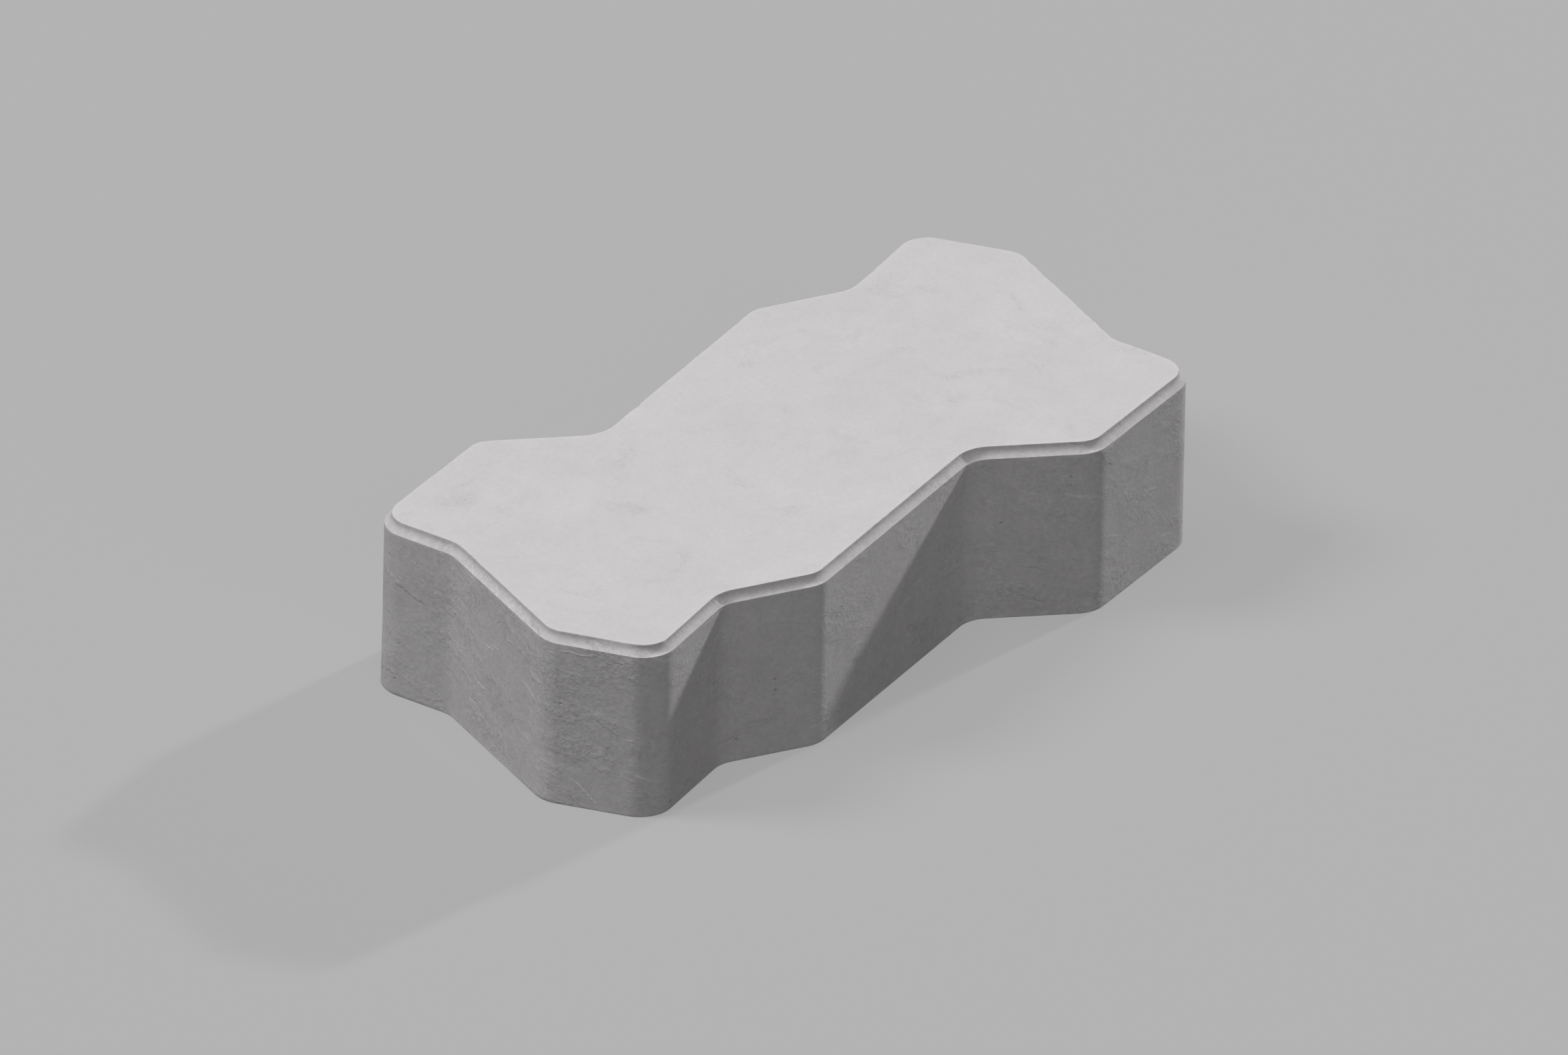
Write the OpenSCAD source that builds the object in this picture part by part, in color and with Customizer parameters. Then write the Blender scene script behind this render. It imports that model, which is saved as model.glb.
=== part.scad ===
// Concrete paving stone with a zig-zag outline, rounded upright edges and a cove round its top face.
// Sizes are in millimetres. The bedding face lies on Z = 0, with the stone's middle over the origin
// and its length along X.

/* [Size] */
// Length of a long side, from corner to corner
stone_l = 246; // [220:1:300]
// Width of an end, from corner to corner
stone_w = 120; // [110:1:150]
// Thickness, from the bedding face to the top face
stone_h = 60; // [40:1:100]

/* [Ends] */
// Distance along an end from its corner to the bend
bend_run = 30; // [26:0.5:36]
// How far the bend lies inside the line between the corners
bend_in = 4.1; // [3:0.1:6]
// Distance along an end from its point to the other corner
point_run = 33.7; // [29:0.1:40]
// How far the point stands outside the line between the corners
point_out = 15.3; // [12:0.1:18]

/* [Long sides] */
// Distance along a long side from its corner to the first hollow
lead_run = 39.8; // [35:0.1:46]
// How far the first hollow lies inside the line between the corners
hollow_1_in = 9.6; // [7:0.1:12]
// Distance along the side from the first hollow to the first ridge
step_1_run = 30; // [26:0.5:36]
// How far the first ridge stands outside the line between the corners
ridge_1_out = 3.9; // [3:0.1:6]
// Distance along the side from the second hollow to the second ridge
step_2_run = 30; // [26:0.5:36]
// How far the second hollow lies inside the line between the corners
hollow_2_in = 14.6; // [11:0.1:17]
// How far the second ridge stands outside the line between the corners
ridge_2_out = 10.4; // [8:0.1:13]
// Distance along the side from the second ridge to the next corner
tail_run = 57.4; // [48:0.1:66]

/* [Edges] */
// Radius that rounds every upright edge
corner_r = 11.3; // [8:0.1:12.5]
// Width of the cove, from the side face in to the top face
cove_w = 2.2; // [1.6:0.1:3]
// Height of the cove's upright wall under the top edge
cove_wall = 0.7; // [0.5:0.1:2]
// Slope of the cove's ledge where it runs out at the side face, in degrees
ledge_fall = 9; // [5:1:20]

/* [Hidden] */
$fn = 96;

// How much a round's radius exceeds the tangent one, so that it meets its neighbours at a clear line
blend = 0.02;
// How far the cutters run past what they cut
over = 3;
// How far a cove's straight and its corner overlap
lap = over / 2;

// Corners of half the outline, counter-clockwise from the one at -X and +Y.
// The other half is the same, turned half round.
end_x = -stone_l / 2;
side_y = -stone_w / 2;
half_outline = [
    [end_x, -side_y],
    [end_x + bend_in, -side_y - bend_run],
    [end_x - point_out, side_y + point_run],
    [end_x, side_y],
    [end_x + lead_run, side_y + hollow_1_in],
    [end_x + lead_run + step_1_run, side_y - ridge_1_out],
    [-end_x - tail_run - step_2_run, side_y + hollow_2_in],
    [-end_x - tail_run, side_y - ridge_2_out],
];
outline = concat(half_outline, -half_outline);
count = len(outline);

// The cove's hollow: its radius, and its middle as the distance out from the side face and the height
cove_r = cove_w / (1 - sin(ledge_fall));
hollow_out = cove_r - cove_w;
hollow_z = stone_h - cove_wall;

function corner(i) = outline[(i + count) % count];
function along(i) = (corner(i + 1) - corner(i)) / norm(corner(i + 1) - corner(i));
function left_of(d) = [-d[1], d[0]];
function heading(i) = atan2(along(i)[1], along(i)[0]);
// Turn of the outline at a corner, positive where the corner stands out
function turn(i) = atan2(left_of(along(i - 1)) * along(i), along(i - 1) * along(i));
function stands_out(i) = turn(i) > 0;
// Distance from a corner to where its round begins
function setback(i) = corner_r * tan(abs(turn(i)) / 2);
function round_start(i) = corner(i) - setback(i) * along(i - 1);
function round_end(i) = corner(i) + setback(i) * along(i);
function round_centre(i) = round_end(i) + (stands_out(i) ? 1 : -1) * corner_r * left_of(along(i));

// What a round takes off a corner that stands out, or fills into one that lies in
module corner_piece(i) {
    c = round_centre(i);
    first = stands_out(i) ? round_start(i) : round_end(i);
    last = stands_out(i) ? round_end(i) : round_start(i);
    reach = 1 + over / corner_r;
    difference() {
        polygon([for (p = [c, first, corner(i), last]) c + reach * (p - c)]);
        translate(c) circle(corner_r + blend);
    }
}

module rounded_outline() {
    difference() {
        polygon(outline);
        for (i = [0 : count - 1]) if (stands_out(i)) corner_piece(i);
    }
    for (i = [0 : count - 1]) if (!stands_out(i)) corner_piece(i);
}

// Section of the cove, with its height along Y.
// inward is 1 where X runs into the stone and -1 where it runs out.
module cove_section(inward) {
    left = inward > 0 ? -over : -cove_w;
    translate([-inward * hollow_out, hollow_z]) circle(cove_r + blend);
    translate([left, hollow_z]) square([over + cove_w, cove_wall + over]);
}

// The cove along the face that starts at corner i
module straight_cove(i) {
    before = stands_out(i) ? lap : 0;
    after = stands_out(i + 1) ? lap : 0;
    run = norm(round_start(i + 1) - round_end(i));
    translate(round_end(i))
        rotate(heading(i))
            translate([-before, 0, 0])
                rotate([90, 0, 90])
                    linear_extrude(before + run + after) cove_section(1);
}

// The cove round corner i
module corner_cove(i) {
    extra = stands_out(i) ? 0 : atan(lap / corner_r);
    start = stands_out(i) ? heading(i - 1) - 90 : heading(i) + 90;
    translate(round_centre(i))
        rotate(start - extra)
            rotate_extrude(angle = abs(turn(i)) + 2 * extra)
                translate([corner_r + blend, 0]) cove_section(stands_out(i) ? -1 : 1);
}

module paving_stone() {
    color([0.78, 0.77, 0.775])
        difference() {
            difference() {
                linear_extrude(stone_h) rounded_outline();
                for (i = [0 : count - 1]) straight_cove(i);
            }
            for (i = [0 : count - 1]) corner_cove(i);
        }
}

paving_stone();
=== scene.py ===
import math

import bpy
import numpy as np
from mathutils import Matrix, Vector
from mathutils.geometry import delaunay_2d_cdt


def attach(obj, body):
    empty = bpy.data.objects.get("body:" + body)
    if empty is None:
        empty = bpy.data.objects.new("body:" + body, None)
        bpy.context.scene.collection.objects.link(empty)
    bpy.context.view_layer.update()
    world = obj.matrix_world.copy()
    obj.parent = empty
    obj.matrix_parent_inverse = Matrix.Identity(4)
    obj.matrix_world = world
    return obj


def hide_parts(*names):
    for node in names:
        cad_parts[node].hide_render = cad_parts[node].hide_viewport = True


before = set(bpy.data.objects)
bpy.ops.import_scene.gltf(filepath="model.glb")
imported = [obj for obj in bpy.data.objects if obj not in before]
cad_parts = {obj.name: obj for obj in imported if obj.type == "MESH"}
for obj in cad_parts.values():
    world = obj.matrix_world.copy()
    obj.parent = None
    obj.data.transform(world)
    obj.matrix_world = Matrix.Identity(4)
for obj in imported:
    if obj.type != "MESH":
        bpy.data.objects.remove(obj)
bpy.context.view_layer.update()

MM = 0.001

# The stone's sizes, in millimetres, named as in the solid.
STONE_L, STONE_W, STONE_H = 246.0, 120.0, 60.0
BEND_RUN, BEND_IN = 30.0, 4.1
POINT_RUN, POINT_OUT = 33.7, 15.3
LEAD_RUN, HOLLOW_1_IN = 39.8, 9.6
STEP_1_RUN, RIDGE_1_OUT = 30.0, 3.9
STEP_2_RUN, HOLLOW_2_IN = 30.0, 14.6
TAIL_RUN, RIDGE_2_OUT = 57.4, 10.4
CORNER_R = 11.3
COVE_W = 2.2
COVE_WALL = 0.7
LEDGE_FALL = math.radians(9)

# Corners of half the outline, counter-clockwise. The other half is the same, turned half round.
END_X, SIDE_Y = -STONE_L / 2, -STONE_W / 2
HALF_OUTLINE = [
    (END_X, -SIDE_Y),
    (END_X + BEND_IN, -SIDE_Y - BEND_RUN),
    (END_X - POINT_OUT, SIDE_Y + POINT_RUN),
    (END_X, SIDE_Y),
    (END_X + LEAD_RUN, SIDE_Y + HOLLOW_1_IN),
    (END_X + LEAD_RUN + STEP_1_RUN, SIDE_Y - RIDGE_1_OUT),
    (-END_X - TAIL_RUN - STEP_2_RUN, SIDE_Y + HOLLOW_2_IN),
    (-END_X - TAIL_RUN, SIDE_Y - RIDGE_2_OUT),
]
OUTLINE = np.vstack([np.array(HALF_OUTLINE), -np.array(HALF_OUTLINE)])

# The cove's hollow: its radius, its middle as a distance out from the side face and a height,
# and the height at which its ledge meets the side face.
COVE_R = COVE_W / (1 - math.sin(LEDGE_FALL))
HOLLOW_OUT = COVE_R - COVE_W
HOLLOW_Z = STONE_H - COVE_WALL
LEDGE_Z = HOLLOW_Z - COVE_R * math.cos(LEDGE_FALL)

# Radii of the worn edges at the foot, the ledge and the brink of the top, and the width of the flat
# rim inside the brink.
FOOT_R = 0.4
LEDGE_R = 0.25
BRINK_R = 0.22
RIM = 0.9

# Spacing of the mesh on the sides, in the rounds and on the top, and the steps across the cove.
# The points inside the top stand in rows, a little scattered, and keep clear of its rim.
SIDE_STEP = 0.98
ROUND_STEP = 0.85
TOP_STEP = 1.36
COVE_STEPS = 10
ROW_GAP = 0.866
SCATTER = 0.14
CLEAR = 0.75
# Stands for the distance in from the side face, for every point inside the top's rim.
FAR_IN = 99.0

# Relief of the cast faces, in millimetres: the depth of each kind of unevenness and its size.
UNEVEN_DEPTH, UNEVEN_SIZE = 0.05, 24.0
GRAIN_DEPTH, GRAIN_SIZE = 0.006, 1.9
DRAG_DEPTH, DRAG_LONG, DRAG_WIDE, DRAG_SLOPE = 0.045, 8.0, 3.4, 0.9
DRAG_PATCH, DRAG_LEVEL = 20.0, 0.05
# Nicks along two edges, given by their height and their distance in, each with its own seed.
NICKED = [(STONE_H, COVE_W, 61), (LEDGE_Z, 0.0, 71)]
NICK_DEPTH, NICK_LONG, NICK_REACH, NICK_LEVEL, NICK_RISE = 0.34, 3.2, 1.1, 0.25, 0.05
NICK_STRETCH, NICK_SHARE = 31.0, 0.35
# Dents: how many, their radii and depths, and how far they stay from the foot and the ledge.
DENTS, DENT_R, DENT_DEPTH = 170, (0.9, 1.6), (0.03, 0.16)
DENT_LOW, DENT_HIGH = 3, 2
# How far the flat faces, and the edges, are set back so that the relief stays inside the solid.
FACE_BACK, EDGE_BACK = 0.06, 0.03
# Points that face further down than this keep their place.
DOWN = -0.2

# Edges painted pale, as wear and, at the ledge's outer edge, also as painted light: height, distance in,
# and reach.
RUBBED_AND_PAINTED_LIGHT = [(STONE_H, COVE_W, 0.8), (LEDGE_Z, 0.0, 0.8), (0.0, 0.0, 1.2)]
# A face counts as one of the stone's ends where its outward direction leans further than this along X,
# and fully so after the width of the change.
END_FROM, END_WIDE = 0.45, 0.4

# The flat map that the looks are baked through for export: its side and gaps in millimetres, the foot's
# scale on it, the corners of the outline at which the sides are cut into strips, and the rows of the
# section, counted from its end, that lie with the top.
MAP_NAME = "OFBake"
MAP_SIDE, MAP_GAP, MAP_FOOT = 330.0, 1.5, 0.40
MAP_CUTS = (6, 12)
MAP_TOP_ROWS = 6


def hashed(i, j, k, seed):
    """A number from -1 to 1 for each whole-number place."""
    h = (i * 374761393 + j * 668265263 + k * 1274126177 + seed * 974634777) & 0xFFFFFFFF
    h = ((h ^ (h >> 13)) * 1103515245) & 0xFFFFFFFF
    h = ((h ^ (h >> 15)) * 2246822519) & 0xFFFFFFFF
    h = h ^ (h >> 16)
    return h.astype(float) / 0x7FFFFFFF - 1.0


def noise(p, seed):
    """Smooth noise at the points p, one cell to a unit."""
    cell = np.floor(p)
    f = p - cell
    w = f * f * f * (f * (f * 6 - 15) + 10)
    c = cell.astype(np.int64)
    out = np.zeros(len(p))
    for dx in (0, 1):
        for dy in (0, 1):
            for dz in (0, 1):
                weight = (
                    (w[:, 0] if dx else 1 - w[:, 0])
                    * (w[:, 1] if dy else 1 - w[:, 1])
                    * (w[:, 2] if dz else 1 - w[:, 2])
                )
                out += weight * hashed(c[:, 0] + dx, c[:, 1] + dy, c[:, 2] + dz, seed)
    return out


def layered(p, seed, octaves):
    """Noise of several sizes, each half as large and half as strong as the one before."""
    shift = 17.3
    out = np.zeros(len(p))
    for k in range(octaves):
        out += noise(p * 2**k + shift * k, seed + k) / 2**k
    return out


def perimeter():
    """Points round the rounded outline with their outward directions and their distance along it."""
    n = len(OUTLINE)
    sides = np.roll(OUTLINE, -1, axis=0) - OUTLINE
    sides /= np.linalg.norm(sides, axis=1)[:, None]
    starts, ends, turns = [], [], []
    for i in range(n):
        a, b = sides[i - 1], sides[i]
        turn = math.atan2(a[0] * b[1] - a[1] * b[0], a @ b)
        back = CORNER_R * math.tan(abs(turn) / 2)
        starts.append(OUTLINE[i] - back * a)
        ends.append(OUTLINE[i] + back * b)
        turns.append(turn)
    points, outs = [], []
    for i in range(n):
        a, turn = sides[i - 1], turns[i]
        sign = 1.0 if turn > 0 else -1.0
        centre = starts[i] + sign * CORNER_R * np.array([-a[1], a[0]])
        steps = max(5, round(CORNER_R * abs(turn) / ROUND_STEP))
        first = math.atan2(-a[0], a[1])
        for k in range(steps):
            t = first + turn * k / steps
            out = np.array([math.cos(t), math.sin(t)])
            points.append(centre + sign * CORNER_R * out)
            outs.append(out)
        run = starts[(i + 1) % n] - ends[i]
        steps = max(2, round(np.linalg.norm(run) / SIDE_STEP))
        out = np.array([sides[i][1], -sides[i][0]])
        for k in range(steps):
            points.append(ends[i] + run * k / steps)
            outs.append(out)
    points, outs = np.array(points), np.array(outs)
    gaps = np.linalg.norm(np.roll(points, -1, axis=0) - points, axis=1)
    return points, outs, np.concatenate([[0.0], np.cumsum(gaps)[:-1]])


def section():
    """The stone's edge in section, from the foot up.

    Each row has the distance in from the side face, the height, and the outward direction.
    """
    quarter = [math.radians(30 * k) for k in range(4)]
    rows = []
    for t in quarter:
        inward, up = FOOT_R * (1 - math.sin(t)), FOOT_R * (1 - math.cos(t))
        rows.append((inward, up, math.sin(t), -math.cos(t)))
    low, high = FOOT_R, LEDGE_Z - LEDGE_R
    steps = round((high - low) / SIDE_STEP)
    for k in range(1, steps):
        rows.append((0.0, low + (high - low) * k / steps, 1.0, 0.0))
    for t in quarter:
        inward, up = LEDGE_R * (1 - math.cos(t)), high + LEDGE_R * math.sin(t)
        rows.append((inward, up, math.cos(t), math.sin(t)))
    edge = math.acos((LEDGE_R + HOLLOW_OUT) / COVE_R)
    for k in range(1, COVE_STEPS + 1):
        t = -edge * (1 - k / COVE_STEPS)
        inward, up = COVE_R * math.cos(t) - HOLLOW_OUT, HOLLOW_Z + COVE_R * math.sin(t)
        rows.append((inward, up, math.cos(t), -math.sin(t)))
    for t in quarter:
        inward, up = COVE_W + BRINK_R * (1 - math.cos(t)), STONE_H - BRINK_R * (1 - math.sin(t))
        rows.append((inward, up, math.cos(t), math.sin(t)))
    rows.append((COVE_W + RIM, STONE_H, 0.0, 1.0))
    return np.array(rows)


def inside(p, loop):
    """Whether each point lies inside the closed loop."""
    hit = np.zeros(len(p), bool)
    for a, b in zip(loop, np.roll(loop, -1, axis=0)):
        spans = (a[1] > p[:, 1]) != (b[1] > p[:, 1])
        if a[1] != b[1]:
            x = a[0] + (p[:, 1] - a[1]) * (b[0] - a[0]) / (b[1] - a[1])
            hit ^= spans & (p[:, 0] < x)
    return hit


def filled(loop, spacing=None, seed=None):
    """Points added inside the loop, where a spacing is given, and the triangles that fill it.

    The triangles count the loop's own points first, and then those added.
    """
    inner = np.zeros((0, 2))
    if spacing:
        rng = np.random.default_rng(seed)
        low, high = loop.min(0), loop.max(0)
        xs = np.arange(low[0], high[0], spacing)
        ys = np.arange(low[1], high[1], spacing * ROW_GAP)
        grid = np.array([(x + (j % 2) * spacing / 2, y) for j, y in enumerate(ys) for x in xs])
        grid += rng.uniform(-SCATTER, SCATTER, grid.shape) * spacing
        grid = grid[inside(grid, loop)]
        near = np.array([np.min(np.sum((loop - g) ** 2, axis=1)) for g in grid])
        inner = grid[near > (CLEAR * spacing) ** 2]
    points = [Vector(p) for p in np.vstack([loop, inner])]
    count = len(loop)
    edges = [(k, (k + 1) % count) for k in range(count)]
    within_edges, tolerance = 1, 1e-7
    _, _, faces, origins, _, _ = delaunay_2d_cdt(points, edges, [], within_edges, tolerance)
    index = [o[0] for o in origins]
    return inner, [tuple(index[v] for v in f) for f in faces]


def corner_points(mesh):
    """The number of the point at each face corner."""
    vertex = np.zeros(len(mesh.loops), np.int64)
    mesh.loops.foreach_get("vertex_index", vertex)
    return vertex


def unrolled(mesh, place, along, rows):
    """For each face corner, the distance along the side and the height.

    On the top and the foot it is the corner's own place.
    """
    n = len(along)
    length = along[-1] + np.linalg.norm(place[0] - place[n - 1])
    vertex = corner_points(mesh)
    out = place[vertex].copy()
    quads = (rows - 1) * n
    v = vertex[: 4 * quads].reshape(-1, 4)
    ring = along[v % n]
    wraps = (v % n).max(axis=1) - (v % n).min(axis=1) > 1
    ring[wraps] = np.where(v[wraps] % n == 0, length, ring[wraps])
    out[: 4 * quads, 0] = ring.ravel()
    out[: 4 * quads, 1] = place[v.ravel(), 2]
    out[: 4 * quads, 2] = 0.0
    return out


def lay_map(mesh, points, outs, along, rows, flat):
    """Lays the faces out flat: the sides in strips, the top with the cove's wall, and the foot.

    flat holds each point's place seen from above, before the relief.
    """
    n, m = len(points), len(rows)
    arc = np.concatenate([[0.0], np.cumsum(np.hypot(*np.diff(rows[:, :2], axis=0).T))])
    wall = m - MAP_TOP_ROWS
    cuts = [0] + [int(np.argmin(np.linalg.norm(points - OUTLINE[k], axis=1))) for k in MAP_CUTS]
    rim = flat[(m - 1) * n : m * n]
    edge = rim + outs * (arc[-1] - arc[wall])
    low, high = edge.min(0), edge.max(0)

    # The quads run row by row, each from its column to the next.
    r, c = np.repeat(np.arange(m - 1), n), np.tile(np.arange(n), m - 1)
    row = np.stack([r, r, r + 1, r + 1], axis=1)
    column = np.stack([c, c + 1, c + 1, c], axis=1)
    strip = np.searchsorted(cuts, c, side="right") - 1
    length = along[-1] + np.linalg.norm(points[0] - points[-1])
    across = np.append(along, length)[column] - along[cuts][strip][:, None]
    base = high[1] - low[1] + MAP_GAP + strip * (arc[wall] + MAP_GAP)
    quads = np.stack([across, arc[row] + base[:, None]], axis=2)
    opened = rim[column % n] + outs[column % n] * (arc[-1] - arc[row])[:, :, None] - low
    quads = np.where((r < wall)[:, None, None], quads, opened).reshape(-1, 2)

    rest = corner_points(mesh)[len(quads) :]
    foot = (flat[rest] - flat[:n].min(0))[:, ::-1] * MAP_FOOT + [high[0] - low[0] + MAP_GAP, 0.0]
    caps = np.where((rest < n)[:, None], foot, flat[rest] - low)
    layer = mesh.uv_layers.new(name=MAP_NAME)
    places = (np.vstack([quads, caps]) + MAP_GAP / 2) / MAP_SIDE
    layer.uv.foreach_set("vector", places.astype(np.float32).ravel())


def cast_relief(place, normal, ring, row_u, row_z, on_top, on_side):
    """How far each point stands out from the plain form, in millimetres."""
    level = np.zeros(len(place))

    # Slow unevenness, slanting drag marks in patches on the sides, and fine grain.
    relief = UNEVEN_DEPTH * layered(place / UNEVEN_SIZE, seed=11, octaves=3)
    slanting = np.c_[
        (ring + DRAG_SLOPE * row_z) / DRAG_LONG,
        (row_z - DRAG_SLOPE * ring) / DRAG_WIDE,
        level,
    ]
    patch = np.clip(layered(place / DRAG_PATCH, seed=31, octaves=2) - DRAG_LEVEL, 0, 1)
    drag = DRAG_DEPTH * patch * layered(slanting, seed=41, octaves=2)
    relief += np.where(on_side, drag, 0.0)
    relief += GRAIN_DEPTH * noise(place / GRAIN_SIZE, seed=51)

    # Wear: small nicks along the brink of the top and along the outer edge of the ledge.
    for height, depth, seed in NICKED:
        reach = np.hypot(row_z - height, row_u - depth)
        nick = noise(np.c_[ring / NICK_LONG, row_z * NICK_RISE, level], seed) - NICK_LEVEL
        worn = noise(np.c_[ring / NICK_STRETCH, level, level], seed + 1) + NICK_SHARE
        close = np.clip(1 - reach / NICK_REACH, 0, 1)
        relief -= NICK_DEPTH * np.clip(nick, 0, 1) * np.clip(worn, 0, 1) * close

    # Dents: shallow marks left by air and grit at the mould, on the sides only.
    rng = np.random.default_rng(83)
    room = np.flatnonzero(on_side & (row_z > DENT_LOW) & (row_z < LEDGE_Z - DENT_HIGH))
    centres = place[rng.choice(room, DENTS)]
    radii = rng.uniform(*DENT_R, DENTS)
    depths = rng.uniform(*DENT_DEPTH, DENTS)
    for centre, radius, depth in zip(centres, radii, depths):
        near = np.flatnonzero(np.abs(place - centre).max(axis=1) < radius)
        d = np.linalg.norm(place[near] - centre, axis=1) / radius
        relief[near] -= depth * np.clip(1 - d * d, 0, 1)

    relief -= np.where(on_top | on_side, FACE_BACK, EDGE_BACK)
    relief[normal[:, 2] < DOWN] = 0.0
    return relief


def keep_number(mesh, name, values):
    """Keeps a number at each of the mesh's points, for the material to read."""
    layer = mesh.attributes.new(name, "FLOAT", "POINT")
    layer.data.foreach_set("value", values.astype(np.float32))


def build_stone():
    """The stone as one closed mesh, with its fine relief and worn edges."""
    points, outs, along = perimeter()
    rows = section()
    n, m = len(points), len(rows)
    u, z, slope_out, slope_up = rows.T
    xy = points[None, :, :] - u[:, None, None] * outs[None, :, :]
    up = np.broadcast_to(z[:, None, None], (m, n, 1))
    place = np.concatenate([xy, up], axis=2).reshape(-1, 3)
    aside = slope_out[:, None, None] * outs[None, :, :]
    up = np.broadcast_to(slope_up[:, None, None], (m, n, 1))
    normal = np.concatenate([aside, up], axis=2).reshape(-1, 3)

    faces = []
    for r in range(m - 1):
        for c in range(n):
            d = (c + 1) % n
            faces.append((r * n + c, r * n + d, (r + 1) * n + d, (r + 1) * n + c))
    top, top_faces = filled(xy[-1], TOP_STEP, seed=5)
    base = (m - 1) * n
    extra = m * n
    faces += [tuple(base + v if v < n else extra + v - n for v in f) for f in top_faces]
    _, foot_faces = filled(xy[0])
    faces += [tuple(reversed(f)) for f in foot_faces]

    place = np.vstack([place, np.c_[top, np.full(len(top), STONE_H)]])
    normal = np.vstack([normal, np.tile([0.0, 0.0, 1.0], (len(top), 1))])
    ring = np.concatenate([np.tile(along, m), np.zeros(len(top))])
    row_z = np.concatenate([np.repeat(z, n), np.full(len(top), STONE_H)])
    row_u = np.concatenate([np.repeat(u, n), np.full(len(top), FAR_IN)])
    on_top = (normal[:, 2] > 0.9) & (row_u > COVE_W)
    on_side = (row_u < 0.01) & (row_z > FOOT_R)
    relief = cast_relief(place, normal, ring, row_u, row_z, on_top, on_side)
    flat = place[:, :2].copy()
    place = place + relief[:, None] * normal

    mesh = bpy.data.meshes.new("paving_stone_cast")
    mesh.from_pydata((place * MM).tolist(), [], faces)
    mesh.polygons.foreach_set("use_smooth", np.ones(len(mesh.polygons), bool))
    # The pale edges: wear, and at the ledge's outer edge also painted light on the ledge that the cove's
    # wall shades.
    rubbed_and_painted_light = sum(
        np.exp(-((np.hypot(row_z - height, row_u - depth) / reach) ** 2))
        for height, depth, reach in RUBBED_AND_PAINTED_LIGHT
    )
    keep_number(mesh, "wear_and_painted_light", np.clip(rubbed_and_painted_light, 0, 1))
    keep_number(mesh, "topside", on_top)
    t = np.clip((np.abs(outs[:, 0]) - END_FROM) / END_WIDE, 0, 1)
    keep_number(mesh, "end", np.concatenate([np.tile(t * t * (3 - 2 * t), m), np.zeros(len(top))]))
    layer = mesh.attributes.new("run", "FLOAT_VECTOR", "CORNER")
    run = unrolled(mesh, place, along, m) * MM
    layer.data.foreach_set("vector", run.astype(np.float32).ravel())
    lay_map(mesh, points, outs, along, rows, flat)
    mesh.validate()
    mesh.update()
    stone = bpy.data.objects.new("paving_stone_cast", mesh)
    bpy.context.scene.collection.objects.link(stone)
    return stone


class Nodes:
    """Short names for making and joining a material's nodes."""

    def __init__(self, tree):
        self.tree = tree
        tree.nodes.clear()

    def add(self, kind, **settings):
        node = self.tree.nodes.new(kind)
        for name, value in settings.items():
            setattr(node, name, value)
        return node

    def put(self, node, socket, value):
        if isinstance(value, bpy.types.NodeSocket):
            self.tree.links.new(value, node.inputs[socket])
        else:
            node.inputs[socket].default_value = value
        return node

    def kept(self, name, output="Fac"):
        """What the mesh keeps under that name."""
        return self.add("ShaderNodeAttribute", attribute_name=name).outputs[output]

    def noise(self, where, scale, detail, rough, twist=0.0, output="Fac"):
        node = self.add("ShaderNodeTexNoise")
        self.put(node, "Vector", where)
        self.put(node, "Scale", scale)
        self.put(node, "Detail", detail)
        self.put(node, "Roughness", rough)
        self.put(node, "Distortion", twist)
        return node.outputs[output]

    def math(self, operation, *values):
        node = self.add("ShaderNodeMath", operation=operation)
        for socket, value in enumerate(values):
            self.put(node, socket, value)
        return node.outputs[0]

    def times(self, a, b):
        return self.math("MULTIPLY", a, b)

    def total(self, *values):
        out = values[0]
        for v in values[1:]:
            out = self.math("ADD", out, v)
        return out

    def vector(self, operation, *values):
        node = self.add("ShaderNodeVectorMath", operation=operation)
        for socket, value in enumerate(values):
            self.put(node, socket, value)
        return node.outputs[0]

    def apart(self, value):
        """The three coordinates of a vector."""
        node = self.add("ShaderNodeSeparateXYZ")
        self.put(node, 0, value)
        return node.outputs[0], node.outputs[1], node.outputs[2]

    def parts(self, value):
        """The three parts of a colour."""
        node = self.add("ShaderNodeSeparateColor")
        self.put(node, "Color", value)
        return node.outputs[0], node.outputs[1], node.outputs[2]

    def slid(self, where, share):
        """The offset that slants a pattern: a share of the first coordinate, along the second."""
        both = self.add("ShaderNodeCombineXYZ")
        self.put(both, 1, self.times(self.apart(where)[0], share))
        return both.outputs[0]

    def spread(self, value, between, onto, smooth=False):
        """The value, with one range of numbers spread onto another."""
        kind = "SMOOTHSTEP" if smooth else "LINEAR"
        node = self.add("ShaderNodeMapRange", interpolation_type=kind)
        for socket, number in enumerate((value, *between, *onto)):
            self.put(node, socket, number)
        return node.outputs[0]

    def seen(self):
        """1 for the rays that show a background, to the camera or in a mirror or glass, and otherwise 0."""
        path = self.add("ShaderNodeLightPath")
        out = self.math("MAXIMUM", path.outputs["Is Camera Ray"], path.outputs["Is Glossy Ray"])
        return self.math("MAXIMUM", out, path.outputs["Is Transmission Ray"])


FULL = (0.0, 1.0)
FADING = (1.0, 0.0)

# Layers of strokes: strength, cells to a metre, half length and half width in metres, share of the
# cells, and bend.
STROKES = [
    (1.0, 62.0, (0.0045, 0.0095), (0.00036, 0.00090), 0.44, 0.0065),
    (0.6, 150.0, (0.0014, 0.0034), (0.00022, 0.00050), 0.26, 0.0026),
]
# Slants of the strokes in radians, where they begin to fade towards their ends, and the share that
# is dark.
STROKE_SLANT = (-0.75, 0.10)
STROKE_FADE = 0.35
STROKE_DARK = 0.45
# The noise that bends the strokes: cells to a stroke's cell, detail and roughness.
STROKE_SWAY = (1.6, 3.0, 0.6)

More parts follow.
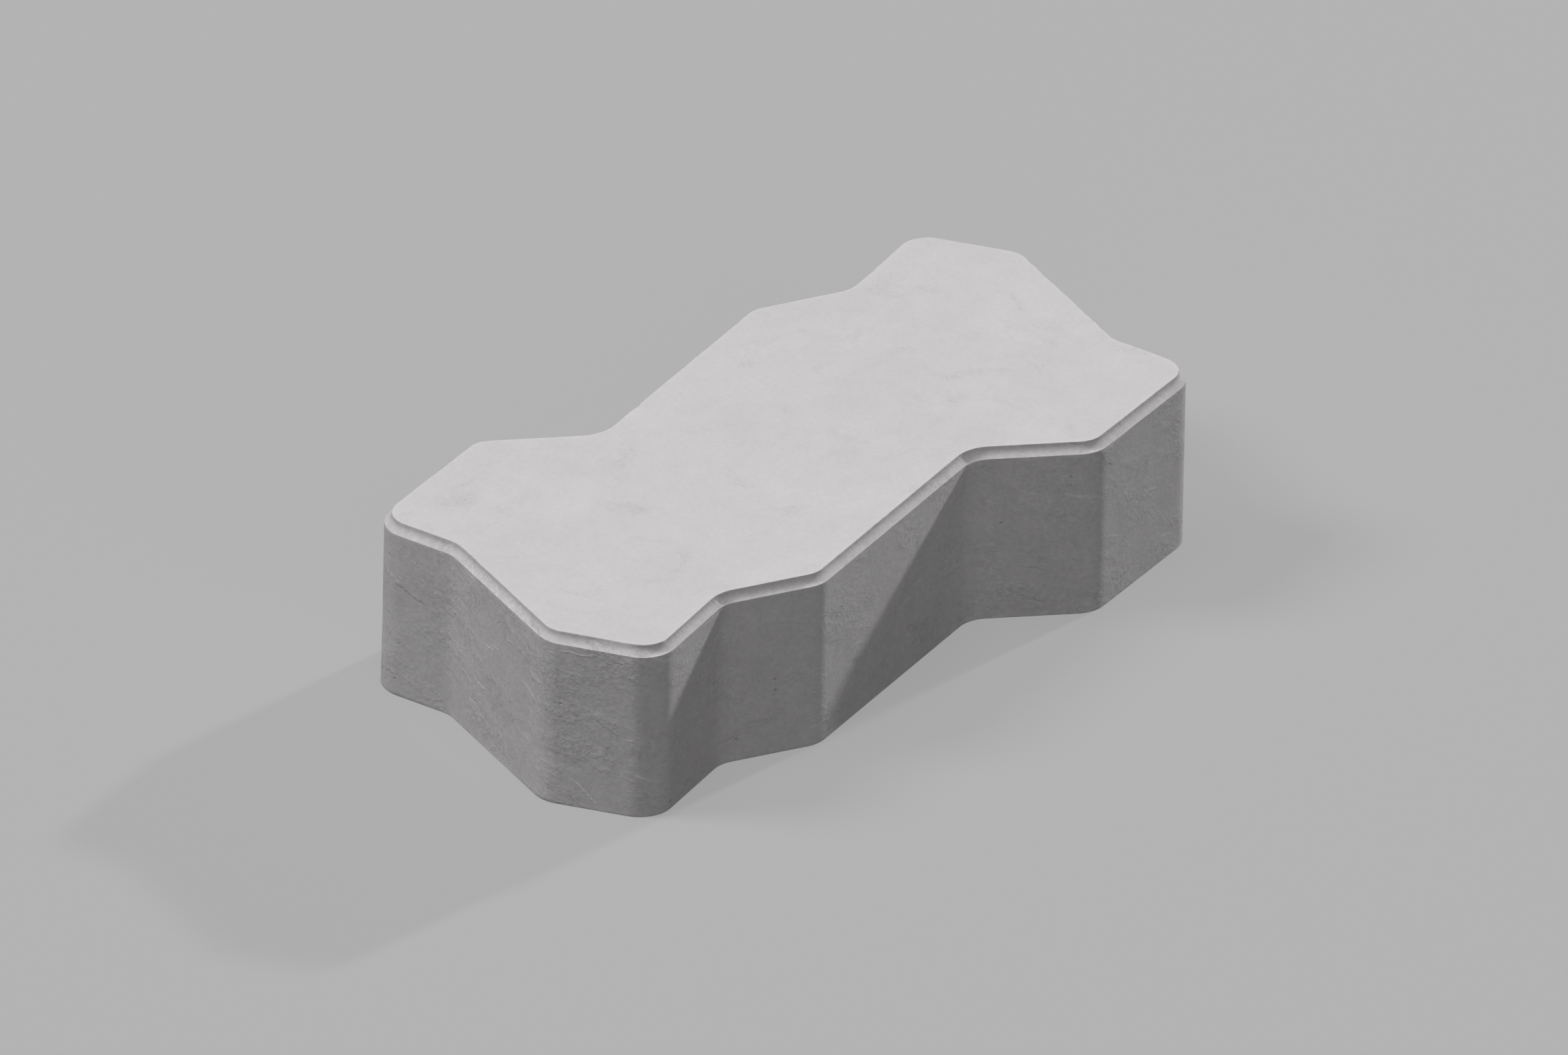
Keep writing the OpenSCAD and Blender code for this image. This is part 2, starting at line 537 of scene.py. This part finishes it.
# Noises of the concrete: cells to a metre, detail, roughness and, for some, distortion.
GRAIN = (620, 4, 0.7)
CLOUD = (130, 4, 0.6, 0.4)
DRIFT = (30, 4, 0.55, 0.3)
SPECKS = (900, 3, 0.7)
CLUSTERS = (58, 5, 0.64, 0.6)
BREAKS = (800, 3, 0.7)
HOLE_GROUPS = (55, 3, 0.6)
PATCHES = (62, 4, 0.62)
FINE = (760, 4, 0.68)
RIDGES = (420, 3, 0.6)
DUST = (900, 3, 0.6)
TINTS = (14, 2, 0.5)
SHEEN = (240, 2, 0.5)

# Pinholes: cells to a metre, the inner edge, the outer edges from small to large, and the raggedness.
HOLE_CELLS = 420.0
HOLE_INNER, HOLE_OUTER, HOLE_RAGGED = 0.05, (0.12, 0.30), 0.35
# The slant of the rough patches, and how far they are drawn out along the sides.
PATCH_SLANT, PATCH_DRAWN = 0.30, (0.55, 1.0, 1.0)

# Each mark's share in the tone, or in the height in millimetres. A pair has what the ends add second.
GRAIN_TONE, SIDE_GRAIN_TONE, PATCH_TONE = 0.16, 0.14, (0.30, 0.30)
CLOUD_TONE, SIDE_CLOUD_TONE, DRIFT_TONE = 0.10, 0.12, 0.14
SMUDGE_TONE, SMUDGE_GROUND = (-0.13, -0.07), 0.25
PALE_TONE, DARK_TONE = (0.14, 0.13), (-0.12, -0.07)
HOLE_TONE, RUBBED_AND_PAINTED_LIGHT_TONE = -0.16, 0.05
ROUGH_HEIGHT, RIDGE_HEIGHT, DUST_HEIGHT = 0.28, (0.12, 0.33), 0.05
PALE_HEIGHT, DARK_HEIGHT, HOLE_HEIGHT = (0.03, 0.05), (-0.03, -0.04), -0.22

# The concrete's two tints, and its range of roughness.
TINT_A, TINT_B = (0.587, 0.570, 0.579, 1.0), (0.579, 0.564, 0.570, 1.0)
MATT = (0.84, 0.97)


def strokes(n, run, scale, long, thin, share, bend):
    """Pale and dark strokes, one to a chosen cell, each with its own slant, length and width."""
    finer, detail, rough = STROKE_SWAY
    sway = n.noise(run, scale * finer, detail, rough, output="Color")
    bent = n.vector("MULTIPLY_ADD", sway, (bend, bend, 0.0), run)
    cells = n.add("ShaderNodeTexVoronoi", feature="F1", voronoi_dimensions="2D")
    n.put(cells, "Vector", bent)
    n.put(cells, "Scale", scale)
    x, y, _ = n.apart(n.vector("SUBTRACT", bent, cells.outputs["Position"]))
    first, second, third = n.parts(cells.outputs["Color"])

    slant = n.spread(first, FULL, STROKE_SLANT)
    cosine, sine = n.math("COSINE", slant), n.math("SINE", slant)
    lengthways = n.math("ADD", n.times(x, cosine), n.times(y, sine))
    across = n.math("SUBTRACT", n.times(y, cosine), n.times(x, sine))
    to_end = n.math("DIVIDE", n.math("ABSOLUTE", lengthways), n.spread(second, FULL, long))
    to_side = n.math("DIVIDE", n.math("ABSOLUTE", across), n.spread(third, FULL, thin))
    body = n.spread(to_end, (STROKE_FADE, 1.0), FADING, smooth=True)
    line = n.spread(to_side, FULL, FADING, smooth=True)

    # Whether a cell has a stroke, and a pale one, comes from the later digits of its numbers.
    chosen = n.math("LESS_THAN", n.math("FRACT", n.times(second, 9.7)), share)
    pale = n.math("GREATER_THAN", n.math("FRACT", n.times(third, 7.3)), STROKE_DARK)
    mark = n.times(n.times(body, line), chosen)
    return n.times(mark, pale), n.times(mark, n.math("SUBTRACT", 1.0, pale))


def concrete():
    """Light grey cast concrete: cloudy tone, smudges of fine specks, strokes, pinholes and grain."""
    material = bpy.data.materials.new("cast_concrete")
    material.use_nodes = True
    n = Nodes(material.node_tree)
    where = n.add("ShaderNodeTexCoord").outputs["Object"]
    wear_and_painted_light = n.kept("wear_and_painted_light")
    end = n.kept("end")
    side = n.math("SUBTRACT", 1.0, n.kept("topside"))
    run = n.kept("run", "Vector")

    def even(settings):
        """Noise about 0."""
        return n.math("SUBTRACT", n.noise(where, *settings), 0.5)

    def stronger(share):
        """A mark's share, with what the stone's ends add to it."""
        plain, more = share
        return n.math("MULTIPLY_ADD", end, more, plain)

    grain, cloud, drift = even(GRAIN), even(CLOUD), even(DRIFT)

    # Smudges: clusters of fine dark specks.
    speck = n.spread(n.noise(where, *SPECKS), (0.48, 0.66), FULL, smooth=True)
    cluster = n.spread(n.noise(where, *CLUSTERS), (0.55, 0.72), FULL, smooth=True)
    smudge = n.times(cluster, n.math("ADD", SMUDGE_GROUND, speck))

    # Strokes: thin pale and dark scrapes that run slanting along the sides, broken by a fine noise.
    pale, dark = [], []
    for strength, *layer in STROKES:
        pale_mark, dark_mark = strokes(n, run, *layer)
        pale.append(n.times(pale_mark, n.times(side, strength)))
        dark.append(n.times(dark_mark, n.times(side, strength)))
    broken = n.spread(n.noise(where, *BREAKS), (0.34, 0.56), (0.30, 1.0), smooth=True)
    pale = n.times(n.total(*pale), broken)
    dark = n.times(n.total(*dark), broken)

    # Pinholes: in loose groups on the sides. A cell has one where its number passes the group's.
    holes = n.add("ShaderNodeTexVoronoi", feature="F1")
    n.put(holes, "Vector", where)
    n.put(holes, "Scale", HOLE_CELLS)
    first, second, _ = n.parts(holes.outputs["Color"])
    group = n.spread(n.noise(where, *HOLE_GROUPS), (0.56, 0.78), (0.992, 0.72))
    few = n.math("GREATER_THAN", first, group)
    ragged = n.math("MULTIPLY_ADD", grain, HOLE_RAGGED, holes.outputs["Distance"])
    outer = n.spread(second, FULL, HOLE_OUTER)
    hole = n.spread(ragged, (HOLE_INNER, outer), FADING, smooth=True)
    pinhole = n.times(n.times(hole, few), side)

    # Rough patches, drawn out along the sides.
    drawn = n.vector("MULTIPLY", n.vector("ADD", run, n.slid(run, PATCH_SLANT)), PATCH_DRAWN)
    patch = n.spread(n.noise(drawn, *PATCHES), (0.44, 0.68), (0.28, 1.0), smooth=True)
    patch = n.times(patch, side)

    # Tone: how much lighter or darker than the tint. The pale edges are wear and, on the ledge, painted
    # light.
    coarse = n.math("MULTIPLY_ADD", side, SIDE_GRAIN_TONE, n.times(patch, stronger(PATCH_TONE)))
    tone = n.total(
        n.times(grain, n.math("ADD", GRAIN_TONE, coarse)),
        n.times(cloud, n.math("MULTIPLY_ADD", side, SIDE_CLOUD_TONE, CLOUD_TONE)),
        n.times(drift, DRIFT_TONE),
        n.times(smudge, stronger(SMUDGE_TONE)),
        n.times(pale, stronger(PALE_TONE)),
        n.times(dark, stronger(DARK_TONE)),
        n.times(pinhole, HOLE_TONE),
        n.times(wear_and_painted_light, RUBBED_AND_PAINTED_LIGHT_TONE),
    )
    tint = n.add("ShaderNodeMix", data_type="RGBA")
    n.put(tint, 0, n.spread(n.noise(where, *TINTS), (0.35, 0.65), FULL))
    n.put(tint, 6, TINT_A)
    n.put(tint, 7, TINT_B)
    colour = n.add("ShaderNodeVectorMath", operation="SCALE")
    n.put(colour, 0, tint.outputs[2])
    n.put(colour, "Scale", n.math("ADD", 1.0, tone))

    # Fine relief: rough patches, strokes and pinholes on the sides, and a faint grain all over.
    ridge = n.times(n.noise(drawn, *RIDGES), stronger(RIDGE_HEIGHT))
    rough = n.times(n.math("ADD", n.noise(where, *FINE), ridge), patch)
    height = n.total(
        n.times(rough, ROUGH_HEIGHT),
        n.times(n.noise(where, *DUST), DUST_HEIGHT),
        n.times(pale, stronger(PALE_HEIGHT)),
        n.times(dark, stronger(DARK_HEIGHT)),
        n.times(pinhole, HOLE_HEIGHT),
    )
    bump = n.add("ShaderNodeBump")
    n.put(bump, "Strength", 1.0)
    n.put(bump, "Distance", MM)
    n.put(bump, "Height", height)

    shader = n.add("ShaderNodeBsdfPrincipled")
    n.put(shader, "Base Color", colour.outputs[0])
    n.put(shader, "Roughness", n.spread(n.noise(where, *SHEEN), (0.3, 0.7), MATT))
    n.put(shader, "Specular IOR Level", 0.25)
    n.put(shader, "Normal", bump.outputs[0])
    n.put(n.add("ShaderNodeOutputMaterial"), "Surface", shader.outputs[0])
    return material


# The floor, in metres: half its width, its tone to the camera, the glow that makes it pale there,
# and its tone for the light that it sends back up to the stone.
FLOOR_HALF = 6.0
FLOOR_TONE = 0.14
FLOOR_GLOW = 0.31
FLOOR_BOUNCE = 0.05
# The world's strength as light, and as it is seen.
WORLD_LIGHT, WORLD_SEEN = 0.06, 0.45
WHITE = (1.0, 1.0, 1.0, 1.0)

# Lamps: name, azimuth and elevation of where the light comes from, strength, and width.
# Angles are in degrees.
LAMPS = [
    ("key", -3, 23.1, 1.95, 3),
    ("fill", 133, 45, 1.71, 20),
    ("low", 245, 16, 0.65, 50),
    ("high", 180, 82, 0.82, 40),
]
LAMP_AWAY = 2.0

# The camera: angles in degrees, the width that it sees, its aim across and up from the origin,
# and its distance and far limit, all in metres.
CAMERA_AZIMUTH, CAMERA_ELEVATION, CAMERA_ROLL = -48.265, 30.0, -1.219
CAMERA_WIDTH = 0.48165
CAMERA_ACROSS, CAMERA_UP = 0.00072, 0.02532
CAMERA_AWAY, CAMERA_END = 2.0, 20.0


def floor_material():
    """A pale matt floor; it shows pale to the camera and sends little light back up to the stone."""
    material = bpy.data.materials.new("studio_floor")
    material.use_nodes = True
    n = Nodes(material.node_tree)
    dim = n.add("ShaderNodeBsdfDiffuse")
    n.put(dim, "Color", (FLOOR_BOUNCE, FLOOR_BOUNCE, FLOOR_BOUNCE, 1.0))
    pale = n.add("ShaderNodeBsdfDiffuse")
    n.put(pale, "Color", (FLOOR_TONE, FLOOR_TONE, FLOOR_TONE, 1.0))
    glow = n.add("ShaderNodeEmission")
    n.put(glow, "Color", WHITE)
    n.put(glow, "Strength", FLOOR_GLOW)
    bright = n.add("ShaderNodeAddShader")
    n.put(bright, 0, pale.outputs[0])
    n.put(bright, 1, glow.outputs[0])
    both = n.add("ShaderNodeMixShader")
    n.put(both, 0, n.seen())
    n.put(both, 1, dim.outputs[0])
    n.put(both, 2, bright.outputs[0])
    n.put(n.add("ShaderNodeOutputMaterial"), "Surface", both.outputs[0])
    return material


def sun(name, azimuth, elevation, strength, width):
    """A lamp whose light comes from that direction in the stone's frame."""
    data = bpy.data.lights.new(name, "SUN")
    data.energy = strength
    data.angle = math.radians(width)
    lamp = bpy.data.objects.new(name, data)
    a, e = math.radians(azimuth), math.radians(elevation)
    towards = Vector((math.cos(a) * math.cos(e), math.sin(a) * math.cos(e), math.sin(e)))
    lamp.rotation_euler = towards.to_track_quat("Z", "Y").to_euler()
    lamp.location = towards * LAMP_AWAY
    bpy.context.scene.collection.objects.link(lamp)


def place_camera():
    """A camera without perspective, at the photo's viewing angle."""
    data = bpy.data.cameras.new("camera")
    data.type = "ORTHO"
    data.ortho_scale = CAMERA_WIDTH
    data.clip_end = CAMERA_END
    camera = bpy.data.objects.new("camera", data)
    azimuth, elevation = math.radians(CAMERA_AZIMUTH), math.radians(CAMERA_ELEVATION)
    roll = math.radians(CAMERA_ROLL)
    right = Vector((math.cos(azimuth), math.sin(azimuth), 0))
    back = Vector((
        math.sin(azimuth) * math.cos(elevation),
        -math.cos(azimuth) * math.cos(elevation),
        math.sin(elevation),
    ))
    up = back.cross(right)
    across = math.cos(roll) * right - math.sin(roll) * up
    upward = math.sin(roll) * right + math.cos(roll) * up
    centre = across * CAMERA_ACROSS + upward * CAMERA_UP
    facing = Matrix((across, upward, back)).transposed().to_4x4()
    camera.matrix_world = Matrix.Translation(centre + back * CAMERA_AWAY) @ facing
    bpy.context.scene.collection.objects.link(camera)
    bpy.context.scene.camera = camera


def studio():
    """Floor, world, lamps and camera."""
    mesh = bpy.data.meshes.new("floor")
    r = FLOOR_HALF
    mesh.from_pydata([(-r, -r, 0), (r, -r, 0), (r, r, 0), (-r, r, 0)], [], [(0, 1, 2, 3)])
    floor = bpy.data.objects.new("floor", mesh)
    floor.data.materials.append(floor_material())
    bpy.context.scene.collection.objects.link(floor)

    world = bpy.data.worlds.new("studio")
    bpy.context.scene.world = world
    world.use_nodes = True
    n = Nodes(world.node_tree)
    sky = n.add("ShaderNodeBackground")
    n.put(sky, "Color", WHITE)
    n.put(sky, "Strength", n.spread(n.seen(), FULL, (WORLD_LIGHT, WORLD_SEEN)))
    n.put(n.add("ShaderNodeOutputWorld"), "Surface", sky.outputs[0])

    for lamp in LAMPS:
        sun(*lamp)
    place_camera()
    bpy.context.scene.view_settings.view_transform = "Standard"


stone = build_stone()
stone.data.materials.append(concrete())
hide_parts("paving_stone")
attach(stone, "root")
studio()

bpy.context.view_layer.update()
